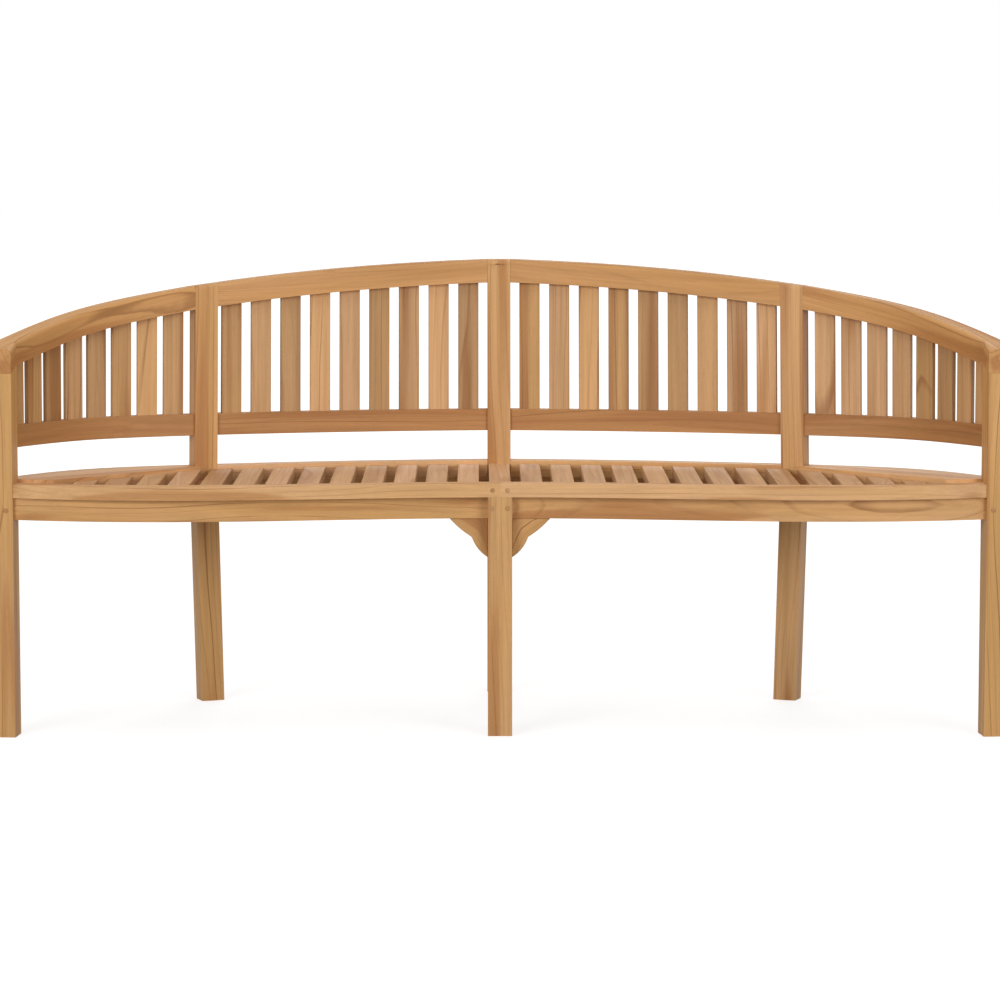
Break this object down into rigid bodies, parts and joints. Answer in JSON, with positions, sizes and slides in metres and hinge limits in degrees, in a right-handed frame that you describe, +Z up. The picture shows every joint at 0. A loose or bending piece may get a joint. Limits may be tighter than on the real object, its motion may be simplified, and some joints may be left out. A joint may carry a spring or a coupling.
{
  "type": "curved garden bench",
  "caption": "Crescent-shaped slatted wooden garden bench with a swept top rail that runs down into the arms.",
  "frame": {"origin": "middle of the bench's bounding box in plan, on the floor under the feet", "axes": "+X along the bench, to the right as seen from the front; +Y to the back; +Z up; the front faces -Y"},
  "size_m": [1.8006, 0.6058, 0.827],
  "materials": {
    "teak_posts": "oiled teak, straight grain along the piece",
    "teak_top_rails": "oiled teak, straight grain along the piece",
    "teak_low_rails": "oiled teak, straight grain along the piece",
    "teak_back_slats": "oiled teak, straight grain along the piece",
    "teak_seat_slats": "oiled teak, straight grain along the piece",
    "teak_rims": "oiled teak, straight grain along the piece",
    "teak_aprons": "oiled teak, straight grain along the piece",
    "teak_bearers": "oiled teak, straight grain along the piece",
    "teak_pegs": "oiled teak, straight grain along the piece"
  },
  "bodies": {
    "root": {"arm_post_left": "teak_posts", "arm_post_right": "teak_posts", "center_front_leg": "teak_posts", "rear_post_left": "teak_posts", "rear_post_center": "teak_posts", "rear_post_right": "teak_posts", "top_rail_outer_left": "teak_top_rails", "top_rail_inner_left": "teak_top_rails", "top_rail_inner_right": "teak_top_rails", "top_rail_outer_right": "teak_top_rails", "low_rail_outer_left": "teak_low_rails", "low_rail_inner_left": "teak_low_rails", "low_rail_inner_right": "teak_low_rails", "low_rail_outer_right": "teak_low_rails", "back_slats_outer_left": "teak_back_slats", "back_slats_inner_left": "teak_back_slats", "back_slats_inner_right": "teak_back_slats", "back_slats_outer_right": "teak_back_slats", "front_rim_left": "teak_rims", "front_rim_right": "teak_rims", "front_apron_left": "teak_aprons", "front_apron_right": "teak_aprons", "rear_rim_outer_left": "teak_rims", "rear_rim_inner_left": "teak_rims", "rear_rim_inner_right": "teak_rims", "rear_rim_outer_right": "teak_rims", "rear_aprons_left": "teak_aprons", "rear_aprons_right": "teak_aprons", "seat_bearer_center": "teak_bearers", "seat_bearers_side": "teak_bearers", "bracket_left": "teak_aprons", "bracket_right": "teak_aprons", "pegs": "teak_pegs", "seat_slat_01": "teak_seat_slats", "seat_slat_02": "teak_seat_slats", "seat_slat_03": "teak_seat_slats", "seat_slat_04": "teak_seat_slats", "seat_slat_05": "teak_seat_slats", "seat_slat_06": "teak_seat_slats", "seat_slat_07": "teak_seat_slats", "seat_slat_08": "teak_seat_slats", "seat_slat_09": "teak_seat_slats", "seat_slat_10": "teak_seat_slats", "seat_slat_11": "teak_seat_slats", "seat_slat_12": "teak_seat_slats", "seat_slat_13": "teak_seat_slats", "seat_slat_14": "teak_seat_slats", "seat_slat_15": "teak_seat_slats", "seat_slat_16": "teak_seat_slats", "seat_slat_17": "teak_seat_slats", "seat_slat_18": "teak_seat_slats", "seat_slat_19": "teak_seat_slats", "seat_slat_20": "teak_seat_slats", "seat_slat_21": "teak_seat_slats", "seat_slat_22": "teak_seat_slats", "seat_slat_23": "teak_seat_slats", "seat_slat_24": "teak_seat_slats", "seat_slat_25": "teak_seat_slats", "seat_slat_26": "teak_seat_slats", "seat_slat_27": "teak_seat_slats"}
  },
  "joints": []
}
